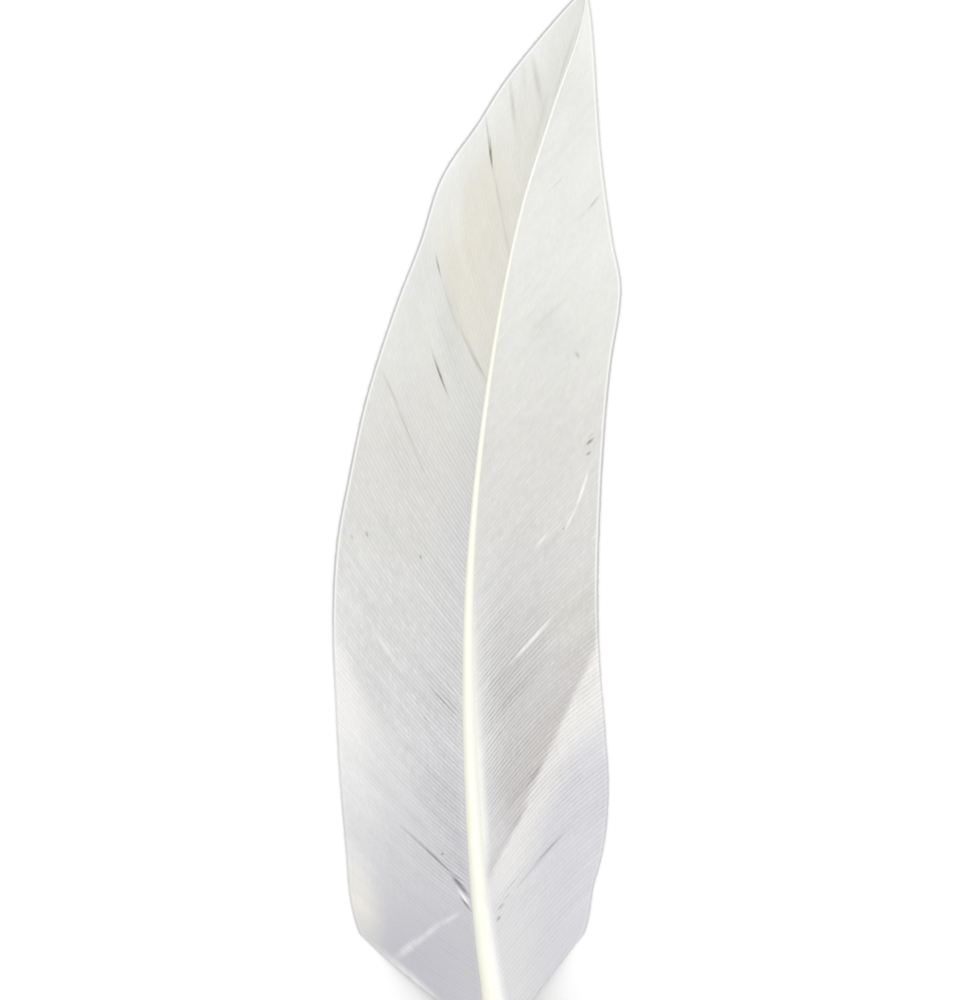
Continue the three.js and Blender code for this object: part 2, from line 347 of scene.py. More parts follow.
def rings_mesh(name, rings, lanes, columns):
    """One object of closed strands.

    rings is (strands, stations, ring points, 3) in millimetres. lanes holds arrays of
    (strands, stations, ring points) that become attributes. columns is how many strands lie side by
    side in the unwrapped map.
    """
    strands, stations, around, _ = rings.shape
    points = rings.reshape(-1, 3)
    index = np.arange(len(points)).reshape(strands, stations, around)
    a = index[:, :-1, :]
    d = index[:, 1:, :]
    quads = np.stack([a, np.roll(a, -1, 2), np.roll(d, -1, 2), d], -1).reshape(-1, 4)
    first, last = index[:, 0, ::-1], index[:, -1, :]

    # The unwrapped map: each strand has a cell, its wall in the middle and its ends in two strips.
    rows = math.ceil(strands / columns)
    column, row = np.arange(strands) % columns, np.arange(strands) // columns
    step = np.linalg.norm(np.roll(rings, -1, 2) - rings, axis=-1).mean((0, 1)) + SMALL
    turn = np.concatenate([[0], np.cumsum(step) / step.sum()])
    climb = np.linspace(*WALL_SPAN, stations)

    def in_cell(u, v):
        """A place in each strand's cell, as a place in the whole map."""
        u = CELL_MARGIN + (1 - 2 * CELL_MARGIN) * u
        u = (column.reshape(-1, *[1] * (u.ndim - 1)) + u) / columns
        v = (row.reshape(-1, *[1] * (v.ndim - 1)) + v) / rows
        return np.stack(np.broadcast_arrays(u, v), -1)

    wall = in_cell(turn[None, None, :], climb[None, :, None])
    b, t = wall[:, :-1], wall[:, 1:]
    wall_map = np.stack([b[:, :, :-1], b[:, :, 1:], t[:, :, 1:], t[:, :, :-1]], -2).reshape(-1, 2)
    angle = 2 * np.pi * np.arange(around) / around
    disc = 0.5 + DISC_RADIUS * np.stack([np.cos(angle), np.sin(angle)], -1)[None]
    foot, head = disc[:, ::-1], disc
    foot_map = in_cell(foot[..., 0], FOOT_STRIP + STRIP_HEIGHT * foot[..., 1]).reshape(-1, 2)
    head_map = in_cell(head[..., 0], HEAD_STRIP + STRIP_HEIGHT * head[..., 1]).reshape(-1, 2)

    faces = [*quads.tolist(), *first.tolist(), *last.tolist()]
    corners = np.concatenate([wall_map, foot_map, head_map])
    p = points[quads[: (stations - 1) * around]]
    centre = points[: stations * around].mean(0)
    # Faces that look inwards are turned, and their corners in the map with them.
    normal = np.cross(p[:, 2] - p[:, 0], p[:, 3] - p[:, 1])
    if np.sum(normal * (p.mean(1) - centre)) < 0:
        faces = [face[::-1] for face in faces]
        sizes = np.concatenate([np.full(len(quads), 4), np.full(2 * strands, around)])
        ends = np.cumsum(sizes)
        order = np.concatenate([np.arange(e - 1, e - s - 1, -1) for e, s in zip(ends, sizes)])
        corners = corners[order]

    mesh = bpy.data.meshes.new(name)
    mesh.from_pydata(((points + ROW_OFFSET) * MM).tolist(), [], faces)
    unwrapped = mesh.uv_layers.new(name="OFBake")
    unwrapped.data.foreach_set("uv", corners.astype(np.float32).ravel())
    for lane, values in lanes.items():
        attribute = mesh.attributes.new(lane, "FLOAT", "POINT")
        full = np.broadcast_to(values, (strands, stations, around))
        attribute.data.foreach_set("value", full.astype(np.float32).ravel())
    mesh.shade_smooth()
    mesh.set_sharp_from_angle(angle=math.radians(SHARP_EDGE))
    made = bpy.data.objects.new(name, mesh)
    bpy.context.scene.collection.objects.link(made)
    return made


SIDEWAYS = np.array([0.13, 0.21, 1.0])  # a direction that no line runs along


def tube(line, radius, around):
    """Rings around many lines (lines, stations, 3)."""
    ahead = np.gradient(line, axis=1)
    ahead /= np.linalg.norm(ahead, axis=-1, keepdims=True)
    across = np.cross(ahead, SIDEWAYS)
    across /= np.linalg.norm(across, axis=-1, keepdims=True)
    over = np.cross(across, ahead)
    angle = 2 * np.pi * np.arange(around) / around
    spoke = (across[:, :, None, :] * np.cos(angle)[None, None, :, None]
             + over[:, :, None, :] * np.sin(angle)[None, None, :, None])
    size = np.broadcast_to(radius, line.shape[:2])[:, :, None, None]
    return line[:, :, None, :] + spoke * size


# ---- Shader maths ----


class Field:
    """A number or colour that changes over a surface, with arithmetic on numbers."""

    def __init__(self, finish, socket):
        self.finish = finish
        self.socket = socket

    def maths(self, operation, first, second):
        """One step of arithmetic."""
        return self.finish.node("ShaderNodeMath", {"operation": operation}, {0: first, 1: second})

    def __add__(self, other):
        return self.maths("ADD", self, other)

    def __radd__(self, other):
        return self.maths("ADD", other, self)

    def __sub__(self, other):
        return self.maths("SUBTRACT", self, other)

    def __rsub__(self, other):
        return self.maths("SUBTRACT", other, self)

    def __mul__(self, other):
        return self.maths("MULTIPLY", self, other)

    def __rmul__(self, other):
        return self.maths("MULTIPLY", other, self)


class Finish:
    """A material and the fields it is made of."""

    def __init__(self, name, roughness, sheen=0.0):
        self.material = bpy.data.materials.new(name)
        self.material.use_nodes = True
        self.tree = self.material.node_tree
        self.shader = self.tree.nodes["Principled BSDF"]
        self.shader.inputs["Roughness"].default_value = roughness
        self.shader.inputs["Sheen Weight"].default_value = sheen

    def node(self, kind, settings=None, values=None, output=0):
        """Adds a node, sets it up and returns one of its outputs."""
        made = self.tree.nodes.new(kind)
        for key, setting in (settings or {}).items():
            if key == "stops":
                self.set_stops(made.color_ramp, setting)
            else:
                setattr(made, key, setting)
        for key, value in (values or {}).items():
            if isinstance(value, Field):
                self.tree.links.new(value.socket, made.inputs[key])
            else:
                made.inputs[key].default_value = value
        return Field(self, made.outputs[output])

    @staticmethod
    def set_stops(ramp, stops):
        """Gives a ramp its (position, colour) stops."""
        while len(ramp.elements) < len(stops):
            ramp.elements.new(1.0)
        for element, (position, colour) in zip(ramp.elements, stops):
            element.position = position
            element.color = (*colour, 1.0)

    def lane(self, name):
        """A named attribute of the mesh, as a number."""
        return self.node("ShaderNodeAttribute", {"attribute_name": name}, output="Fac")

    def place(self):
        """Where a point lies on the feather, in metres."""
        return self.node("ShaderNodeTexCoord", output="Object")

    def band(self, value, low, high):
        """0 below low and 1 above high, with a smooth climb between. low may be above high."""
        settings = {"interpolation_type": "SMOOTHSTEP"}
        sign = 1 if high > low else -1
        value = value if sign > 0 else value * -1.0
        return self.node("ShaderNodeMapRange", settings, {0: value, 1: sign * low, 2: sign * high})

    def stretch(self, place, start, end, half_width):
        """Places around a stretch: x is -1 to 1 along it, y is -1 to 1 across it."""
        middle = (0.5 * np.add(start, end) + ROW_OFFSET[:2]) * MM
        run = 0.5 * np.subtract(end, start)
        values = {
            "Vector": place,
            "Location": (middle[0], middle[1], 0.0),
            "Rotation": (0.0, 0.0, math.atan2(run[1], run[0])),
            "Scale": (math.hypot(*run) * MM, half_width * MM, 1.0),
        }
        return self.node("ShaderNodeMapping", {"vector_type": "TEXTURE"}, values)

    def mark(self, place, start, end, half_width, strength):
        """A mark that tapers out: strength in its middle, 0 a little past its ends."""
        start, end = np.array(start), np.array(end)
        past = MARK_TAPER * (end - start)
        around = self.stretch(place, start - past, end + past, half_width)
        away = self.node("ShaderNodeVectorMath", {"operation": "LENGTH"}, {0: around}, "Value")
        settings = {"interpolation_type": "SMOOTHSTEP"}
        limits = {0: away, 1: 0.0, 2: 1.0, 3: strength, 4: 0.0}
        return self.node("ShaderNodeMapRange", settings, limits)

    def marks(self, place, marks):
        """The sum of many marks."""
        total = self.mark(place, *marks[0])
        for mark in marks[1:]:
            total = total + self.mark(place, *mark)
        return total

    def ramp(self, value, stops):
        """A colour that runs through (position, colour) stops."""
        return self.node("ShaderNodeValToRGB", {"stops": stops}, {"Fac": value})

    def blend(self, share, first, second, how="MIX"):
        """Mixes two colours by a share."""
        settings = {"data_type": "RGBA", "blend_type": how}
        first, second = (c if isinstance(c, Field) else (*c, 1.0) for c in (first, second))
        return self.node("ShaderNodeMix", settings, {0: share, 6: first, 7: second}, output=2)

    def shade(self, colour, tone):
        """Darkens or lightens a colour by a number."""
        grey = self.node("ShaderNodeCombineXYZ", None, {0: tone, 1: tone, 2: tone})
        return self.blend(1.0, colour, grey, how="MULTIPLY")

    def noise(self, x, y, z, detail=2.0):
        """Noise, 0 to 1. x and y stretch it over the surface, and a plain z draws another one."""
        vector = self.node("ShaderNodeCombineXYZ", None, {0: x, 1: y, 2: z})
        values = {"Vector": vector, "Scale": 1.0, "Detail": detail}
        return self.node("ShaderNodeTexNoise", None, values)

    def paint(self, colour):
        """Gives the surface its colour."""
        self.tree.links.new(colour.socket, self.shader.inputs["Base Color"])

    def relief(self, height, distance):
        """Raises the surface in shading by a height field."""
        values = {"Height": height, "Distance": distance, "Strength": 1.0}
        bump = self.node("ShaderNodeBump", None, values)
        self.tree.links.new(bump.socket, self.shader.inputs["Normal"])


def linear(red, green, blue):
    """A display colour, 0 to 255, as the linear colour that shaders use."""
    steps = np.array([red, green, blue]) / 255
    low, high = steps / 12.92, ((steps + 0.055) / 1.055) ** 2.4
    return tuple(float(c) for c in np.where(steps <= 0.04045, low, high))


# The painted shade between barbs is nil at this place across a barb's ribbon.
GROOVE_SHADE_LANE = 0.3  # where on a barb's ribbon no line shows, in barb spacings from its ridge
BARBULE_RELIEF, HORN_RELIEF = 0.015, 0.03  # heights of the relief in shading


def sway(noise, spread):
    """Noise as a number that swings about 0."""
    return (noise - 0.5) * spread


class Web(Finish):
    """One vane's material, with the fields that its tones are worked out from."""

    def __init__(self, side):
        super().__init__(SIDE_NAMES[side] + "_web", roughness=0.62, sheen=0.1)
        lane, noise = self.lane, self.noise
        self.side = side
        self.spot = self.place()
        # rise and share run along the feather and a barb, ribbon across a barb. climb and strand
        # are one value a barb. inset and beside are millimetres from the outer edge and the shaft.
        self.rise, self.share, self.ribbon = lane("rise"), lane("share"), lane("lane")
        self.climb, self.strand = lane("climb"), lane("strand")
        self.inset, self.beside = lane("inset"), lane("beside")
        climb, share = self.climb, self.share
        # From broad to fine: the first three run along the barbs, the others break them up.
        self.clouds = noise(climb * 9.0, share * 2.0, 4.0)
        self.strokes = noise(climb * 40.0, share * 1.2, 8.0)
        self.streaks = noise(climb * 70.0, share * 1.8, 0.0, 3.0)
        self.patches = noise(share * 3.0, climb * 16.0, 2.0)
        self.fine = noise(share * 30.0, climb * 150.0, 6.0)
        self.broken = noise(share * 22.0, climb * 330.0, 1.0)
        self.fuzz = noise(share * 60.0, climb * 300.0, self.ribbon * 0.7)
        self.uneven = sway(self.clouds, 0.12)
        # How far a place lies beyond the slanting line, in millimetres, with strokes across it
        slant = self.stretch(self.spot, *PALE_MARGIN[side], 1.0)
        beyond = self.node("ShaderNodeSeparateXYZ", None, {0: slant}, "Y") * float(side)
        self.beyond = beyond + self.uneven * 5.0 + sway(self.strokes, 1.6)

    def up(self, low, high):
        """A band along the feather, in shares of its length."""
        return self.band(self.rise, low, high)

    def mark_mask(self, marks):
        """Where a list of marks lies."""
        return self.marks(self.spot, marks)


def left_zones(web, colour, look):
    """Tones of the left vane, from the tip down."""
    band, blend, up = web.band, web.blend, web.up
    # A warm wedge beside the upper shaft: it ends at a barb below, and in strokes above.
    wedge = band(web.climb, 0.615, 0.645) * band(web.inset + sway(web.clouds, 4.0), 0.6, 5.0)
    wedge = wedge * band(web.rise + sway(web.strokes, 0.3), 0.98, 0.82)
    colour = blend(wedge * (0.35 + web.strokes + (web.fine - 0.5)), colour, look.warm_tone)
    colour = blend(web.mark_mask(COOL_IN_WEDGE), colour, look.high_tone)
    colour = blend(web.mark_mask(PALE_IN_WEDGE), colour, look.pale_tone)
    # Shade near the edge, and the shaft's painted shadow beside it, cooler towards the quill.
    colour = blend(web.mark_mask(HAZE[LEFT]), colour, look.shadow_and_haze_tone)
    shaft_shadow = up(0.52, 0.62) * (0.20 + up(0.76, 0.68) * 0.20) + 0.10
    colour = blend(band(web.beside, 5.5, 0.2) * shaft_shadow, colour, look.shadow_and_haze_tone)
    colour = blend(web.mark_mask(COOL_STREAK), colour, look.cool_tone)
    shade = band(web.share + web.uneven, 0.52, 0.0) * up(0.61, 0.43) * up(0.27, 0.33)
    colour = blend(shade * 0.3, colour, look.foot_tone)
    # The pale margin beyond the slanting line, and a fainter stretch of it above.
    pale = band(web.beyond, -0.6, 1.6) * (band(web.inset, 7.5, 0.5) * 0.6 + 0.3)
    pale = pale * (up(0.39, 0.47) * 0.6 + 0.4) * up(0.30, 0.35)
    pale = pale + band(web.inset, 7.0, 0.5) * up(0.60, 0.54) * up(0.49, 0.53) * 0.35
    colour = blend(pale * (0.2 + web.strokes + web.patches * 0.6), colour, look.pale_tone)
    cream = web.mark_mask(CREAM_FOOT) * (0.75 + web.clouds * 0.4)
    return blend(cream, colour, look.cream_tone)


def right_zones(web, colour, look):
    """Tones of the right vane, from the middle down, and its white tip."""
    band, blend, up = web.band, web.blend, web.up
    colour = blend(web.mark_mask(HAZE[RIGHT]), colour, look.shadow_and_haze_tone)
    inner = band(web.beside, 0.8, 5.0) * 0.8 + 0.2
    colour = blend(up(0.64, 0.45) * inner * 0.95, colour, look.shade_tone)
    colour = blend(web.mark_mask(BROWN_LINE) * (0.4 + web.clouds * 1.2), colour, look.brown_tone)
    colour = blend(web.mark_mask(OLIVE_PATCH) * (0.5 + web.patches), colour, look.olive_tone)
    # The margin beyond the slanting line: pale above, cooler below, with a pale strip beside it.
    margin = blend(band(web.share, 0.15, 0.6), look.low_tone, look.cool_tone)
    pale = band(web.rise + sway(web.strokes, 0.06), 0.41, 0.49)
    margin = blend(pale, margin, look.pale_tone)
    strip = band(web.beyond, 5.0, 1.0) * up(0.31, 0.37) * 0.8
    margin = blend(strip, margin, look.strip_tone)
    colour = blend(band(web.beyond, -0.5, 0.5), colour, margin)
    return blend(up(0.92, 0.97) * 0.35, colour, look.white_tone)


def groove_shade_strength(web):
    """How dark the painted shade between the barbs is: most near the shaft, where the web is open.
    """
    band, up = web.band, web.up
    near = band(web.share, 0.50, 0.06)
    if web.side == LEFT:
        strength = near * up(0.75, 0.55) * up(0.315, 0.36)
        strength = strength * (up(0.445, 0.405) * 0.28 + 0.34)
        strength = strength + up(0.76, 0.62) * up(0.39, 0.46) * 0.20
    else:
        reach = up(0.58, 0.50) * up(0.35, 0.415) * band(web.beside, 0.4, 1.6)
        strength = reach * (near * 0.45 + 0.40) + up(0.72, 0.56) * 0.20
        strength = strength * (band(web.beyond, 1.0, -0.5) * 0.2 + 0.8)
        strength = strength * (1.0 - web.mark_mask(SMOOTH_PATCH))
    patchy = band(web.patches, 0.30, 0.62) * 0.4 + 0.6
    return strength * patchy * (band(web.broken, 0.30, 0.66) + 0.3)


def web_tone(web, look):
    """Painted shade between barbs, streaks along them and the fine grain of the barbules."""
    band, up = web.band, web.up
    # Painted shade in the groove where one barb's ribbon meets the next.
    turn = (web.ribbon - GROOVE_SHADE_LANE) * math.tau
    cosine = web.node("ShaderNodeMath", {"operation": "COSINE"}, {0: turn})
    groove = (0.5 - 0.5 * cosine) * (groove_shade_strength(web) + 0.01)
    low_half = up(0.68, 0.44)
    grain = 0.3 + low_half * 0.7
    tone = sway(web.streaks, 0.30) * grain + web.uneven * 0.25 + web.strand * 0.006 * grain
    tone = tone + sway(web.fuzz, 0.08 + low_half * 0.16) + sway(web.fine, 0.10)
    hatching = up(0.78, 0.56) * up(0.30, 0.40) * (1.0 - band(web.beyond, -1.0, 1.0) * 0.5)
    tone = tone + sway(web.broken, 0.08 + hatching * 0.20) + sway(web.patches, 0.06)
    # The web is smoother beyond the slanting line, and at its foot.
    calm = band(web.beyond, -0.5, 1.5) * 0.4 + up(0.34, 0.29) * 0.4
    return 1.0 + tone * (1.0 - calm) - groove * look.groove_shade_depth


def white_roots_and_glow(web):
    """White roots beside the shaft, from the middle down, partly painted glow off its lit flank."""
    band, up = web.band, web.up
    reach = up(0.50, 0.40) * up(0.33, 0.38) * 0.45 + 0.75
    roots = band(web.beside - reach, 0.0, -1.2) * up(0.63, 0.48)
    if web.side == LEFT:
        return roots * 0.12
    # Painted glow: a wider soft lightening of the right web, spilling off the shaft's lit flank.
    soft = band(web.beside, 4.0, 0.4) * up(0.60, 0.47) * up(0.33, 0.38)
    return roots * 0.56 + soft * 0.20


def add_rim(web, colour, look):
    """A thin grey rim with a pale line inside it, firmest in the upper half.

    The grey rim is partly painted contact shadow along the edge, partly darker barb tips.
    """
    band, blend, firm = web.band, web.blend, web.up(0.46, 0.58)
    pale_rim = band(web.inset, 0.60, 0.35) * band(web.inset, 0.15, 0.3)
    colour = blend(pale_rim * (firm * 0.5 + 0.1), colour, look.white_tone)
    rim = firm * 0.6 + 0.4
    if web.side == RIGHT:
        rim = rim - web.up(0.72, 0.84) * 0.5
    # Painted contact shadow along the edge, with darker barb tips.
    return blend(band(web.inset, 0.32, 0.10) * rim, colour, look.rim_tone)


def vane_finish(side, look):
    """Off-white web: paler towards the tip, fine lines between barbs, marks and a thin grey rim.

    The lines are painted shade, the marks along the slits painted shadow, the rim partly painted
    contact shadow.
    """
    web = Web(side)
    colour = web.ramp(web.rise, [
        (0.29, look.foot_tone),
        (0.44, look.low_tone),
        (0.66, look.middle_tone),
        (0.80, look.high_tone),
        (0.95, look.tip_tone),
    ])
    zones = left_zones if side == LEFT else right_zones
    colour = web.shade(zones(web, colour, look), web_tone(web, look))
    # Painted glow beside the shaft, over whiter roots.
    colour = web.blend(white_roots_and_glow(web), colour, look.white_tone)

    frayed = 0.45 + web.broken * 1.1
    depth = web.blend(web.up(0.50, 0.66), look.mark_tone, look.high_mark_tone)
    # Dark marks; those along the partings are painted shadow in the slits.
    colour = web.blend(web.mark_mask(DARK_MARKS[side]) * frayed, colour, depth)
    colour = web.blend(web.mark_mask(PALE_MARKS[side]) * frayed, colour, look.white_tone)
    web.paint(add_rim(web, colour, look))

    barbules = web.noise(web.share * 420.0, web.ribbon * 3.0, web.climb * 199.0, 1.0)
    web.relief(barbules, BARBULE_RELIEF * MM)
    return web.material


def horn_finish(look):
    """Cream keratin: paler to the right, whitest at the vanes' foot, warmer down the quill.

    The paler right flank is a painted highlight, the darker cream left flank partly painted shade.
    """
    finish = Finish("cream_horn", roughness=0.34)
    band = finish.band
    turn, rise = finish.lane("turn"), finish.lane("rise")
    blotches = finish.noise(turn * 1.2, rise * 60.0, 5.0)
    lean = turn + sway(blotches, 0.5)
    # Painted shade on the left flank, and a painted highlight on the right flank near the vanes'
    # foot.
    colour = finish.blend(band(lean, -0.9, -0.2), look.cream, look.middle)
    white = band(lean, 0.15, 0.6) * band(rise, 0.345, 0.31) + band(rise, 0.74, 0.90) * 0.9
    colour = finish.blend(white, colour, look.white)
    quill = band(rise, 0.25, 0.12)
    colour = finish.blend(quill * 0.75, colour, look.quill)
    colour = finish.blend(band(rise, 0.035, 0.0) * 0.7, colour, look.quill_end)
    mark_mask = band(blotches, 0.58, 0.72) * band(rise, 0.36, 0.31)
    colour = finish.blend(mark_mask * 0.4, colour, look.quill)
    grain = finish.noise(turn * 9.0, rise * 14.0, 0.0, 3.0)
    rings = finish.noise(turn * 0.6, rise * 260.0, 2.0)
    tone = 1.0 + sway(grain, 0.04) + (rings - 0.5) * quill * 0.12
    finish.paint(finish.shade(colour, tone))
    finish.relief(grain, HORN_RELIEF * MM)
    return finish.material


def down_finish(side, look):
    """Soft white down, a little greyer at the roots."""
    finish = Finish(SIDE_NAMES[side] + "_fluff", roughness=0.85, sheen=0.3)
    share, strand = finish.lane("share"), finish.lane("strand")
    colour = finish.blend(share, look.root_tone, look.tip_tone)
    finish.paint(finish.shade(colour, 1.0 + strand * 0.03))
    return finish.material


# ---- Settings ----


def tint(name, description, *tone):
    """A colour that a user can change; its default is given as a display colour, 0 to 255."""
    return FloatVectorProperty(
        name=name, description=description, default=linear(*tone), size=3, min=0, max=1,
        subtype="COLOR")


def size(name, description, default):
    """A length that a user can change; its default is given in millimetres."""
    return FloatProperty(name=name, description=description, default=default * MM, unit="LENGTH")


class FEATHER_PG_shaft(bpy.types.PropertyGroup):
    """Sizes and colours of the quill's shaft."""

    stations: IntProperty(name="Stations", description="Rings along the shaft", default=260, min=20)
    around: IntProperty(name="Around", description="Points around the shaft", default=36, min=12)
    groove: FloatProperty(
        name="Groove", description="Depth of the groove under the shaft, as a share of its depth",
        default=0.32, min=0, max=0.8, subtype="FACTOR")
    # The left flank's cream is partly painted shade, the right flank's white a painted highlight.
    cream: tint("Cream", "Left flank of the shaft", 236, 236, 220)
    middle: tint("Middle", "Top of the shaft", 241, 241, 229)
    white: tint("White", "Right flank of the shaft at the vanes' foot", 244, 244, 243)
    quill: tint("Quill", "Bare quill below the vanes", 238, 231, 211)
    quill_end: tint("Quill end", "The quill's very end", 222, 205, 172)


class FEATHER_PG_vane(bpy.types.PropertyGroup):
    """Sizes and colours of the barbed vanes."""

    ridge: size("Ridge", "Height of a barb's ridge over its web", 0.03)
    crowding: size("Crowding", "How far barbs stray from their even places", 0.09)
    stations: IntProperty(name="Stations", description="Steps along a barb", default=50, min=8)
    seed: IntProperty(name="Seed", description="Draw of the barbs' small differences", default=7)
    # Darkness of the painted shade in the lines between barbs.
    groove_shade_depth: FloatProperty(
        name="Line depth", description="Darkness of the lines between barbs",
        default=0.34, min=0, max=1, subtype="FACTOR")
    foot_tone: tint("Foot", "Web at the foot", 188, 188, 194)
    low_tone: tint("Low", "Web in the lower third", 213, 213, 214)
    middle_tone: tint("Middle", "Web in the middle", 213, 212, 208)
    high_tone: tint("High", "Web in the upper third", 224, 224, 220)
    tip_tone: tint("Tip", "Web at the tip", 226, 226, 222)
    warm_tone: tint("Warm", "Wedge beside the upper shaft", 218, 215, 202)
    cream_tone: tint("Cream", "Margin at the foot, left", 225, 222, 214)
    # Painted shadow of the shaft on the left web; also the haze near the upper edges.
    shadow_and_haze_tone: tint("Dusk", "Beside the middle of the shaft, left", 200, 200, 197)
    shade_tone: tint("Shade", "Inner web, lower right", 202, 200, 199)
    brown_tone: tint("Brown", "Along the slanting line, lower right", 196, 189, 186)
    olive_tone: tint("Olive", "Outer web, right of the middle", 211, 208, 199)
    strip_tone: tint("Strip", "Just beyond the slanting line, right", 231, 228, 225)
    cool_tone: tint("Cool", "Outer web, lower right", 209, 208, 213)
    pale_tone: tint("Pale", "Outer margins in the lower half", 234, 233, 231)
    # White also carries the painted glow beside the shaft and a painted highlight by a slit.
    white_tone: tint("White", "White roots and pale marks", 246, 246, 242)
    # Dark marks, in part painted shadow in the slits.
    mark_tone: tint("Mark", "Dark marks and partings, lower half", 120, 119, 124)
    high_mark_tone: tint("High mark", "The same, upper half", 126, 123, 110)
    # The rim is partly painted contact shadow, partly darker barb tips.
    rim_tone: tint("Rim", "Thin rim of the web", 190, 190, 191)


class FEATHER_PG_down(bpy.types.PropertyGroup):
    """Sizes and colours of the tufts of down."""

    barbs: IntProperty(name="Barbs", description="Downy barbs a side", default=38, min=4)
    foot: size("Foot", "Where the down starts, from the quill's end", 31.2)
    top: size("Top", "Where the down ends, from the quill's end", 40.6)
    foot_length: size("Foot length", "Length of the lowest downy barbs", 6)
    top_length: size("Top length", "Length of the highest downy barbs", 10.5)
    seed: IntProperty(name="Seed", description="Draw of the tufts", default=11)
    root_tone: tint("Roots", "Down at the shaft", 236, 234, 226)
    tip_tone: tint("Tips", "Down at its tips", 250, 250, 248)


class FEATHER_PG_stage(bpy.types.PropertyGroup):
    """Camera, light and floor."""

    lens: FloatProperty(name="Lens", description="Focal length in millimetres", default=200, min=20)
    view_height: size("View height", "Length of the stage that the picture's height covers", 134)
    view_middle: size("View middle", "Where the picture's middle lies along the feather", 112.56)
    floor_tone: tint("Floor", "Plain floor", 247, 247, 247)
    sky: FloatProperty(name="Sky", description="Strength of the light all round", default=0.88)
    key: FloatProperty(name="Key", description="Power of the soft lamp", default=1.0, unit="POWER")


# ---- Pieces ----


STATION_CROWDING = 0.25  # how much closer the shaft's rings lie at the quill's end
RACHIS_FADE = (VANE_FOOT - 4, VANE_FOOT + 12)  # where the round quill turns into the rachis
GROOVE_AT, GROOVE_WIDTH = 270, 24  # degrees round the shaft, with its top at 90
TOP_AT, TOP_WIDTH, TOP_FLATNESS = 90, 22, 0.05
WOBBLE = 0.012  # unevenness of the shaft's thickness
QUILL_TIP, TIP_SHARE = 1.2, 0.45  # length of the quill's rounded end, and what is left there
LIFT_FROM, LIFT = 150, 0.16  # the thin end climbs onto the web, to show between the vanes


class FEATHER_OT_grow_shaft(bpy.types.Operator):
    """Makes the shaft: the bare quill and the rachis that carries the vanes"""

    bl_idname = "feather.grow_shaft"
    bl_label = "Grow Shaft"

    def execute(self, context):
        look = context.scene.feather_shaft
        climb = np.linspace(0, 1, look.stations)
        along = HAIR_END * (STATION_CROWDING * climb**2 + (1 - STATION_CROWDING) * climb)
        angle = 2 * np.pi * np.arange(look.around) / look.around
        y, turn = np.broadcast_arrays(along[:, None], angle[None, :])
        wide, deep = 0.5 * shaft_width(y), half_depth(y)

        # Round below the vanes; above their foot, flatter on top and grooved underneath.
        rachis = smooth_step(*RACHIS_FADE, y)
        under = np.exp(-((np.degrees(turn) - GROOVE_AT) / GROOVE_WIDTH) ** 2)
        top = np.exp(-((np.degrees(turn) - TOP_AT) / TOP_WIDTH) ** 2)
        reach = 1 - rachis * (look.groove * under + TOP_FLATNESS * top)
        wobble = 1 + WOBBLE * np.sin(y * 0.9 + 1.7) * np.sin(2 * turn + y * 0.11)
        dimple = smooth_step(0, QUILL_TIP, y) * (1 - TIP_SHARE) + TIP_SHARE
        x = shaft_across(y) + np.cos(turn) * wide * wobble * dimple
        web_lift = LIFT * smooth_step(LIFT_FROM, SHAFT_END, y)
        z = shaft_height(y) + np.sin(turn) * deep * reach * wobble * dimple + web_lift
        rings = np.stack([x, y, z], -1)[None]
        lanes = {"turn": np.cos(turn)[None], "rise": (y / TIP_ALONG)[None]}
        made = rings_mesh("quill_shaft", rings, lanes, 1)
        made.data.materials.append(horn_finish(look))
        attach(made, "root")
        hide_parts("shaft")
        return {"FINISHED"}


# Across a barb's ribbon: place in barb spacings from its ridge, height in ridge heights.
RIBBON_TOP = [(-0.32, -0.8), (-0.13, -0.2), (0.0, 0.85), (0.28, 0.45), (0.55, 0.1), (0.82, -0.3)]
RIBBON_UNDER = [(0.82, -1.6), (0.1, -3.2), (-0.32, -2.4)]
RIDGE_TAPER = 0.7  # share of its ridge that a barb has lost at its end
ROOT_STRAY = 0.05  # of a barb's spacing
END_STRAY = (-0.05, 0.02)  # barbs end a little apart, so that the edge isn't a knife cut
RIPPLE, BARB_LOOSENESS = 0.03, 0.006  # heights of the web's ripples and of single barbs


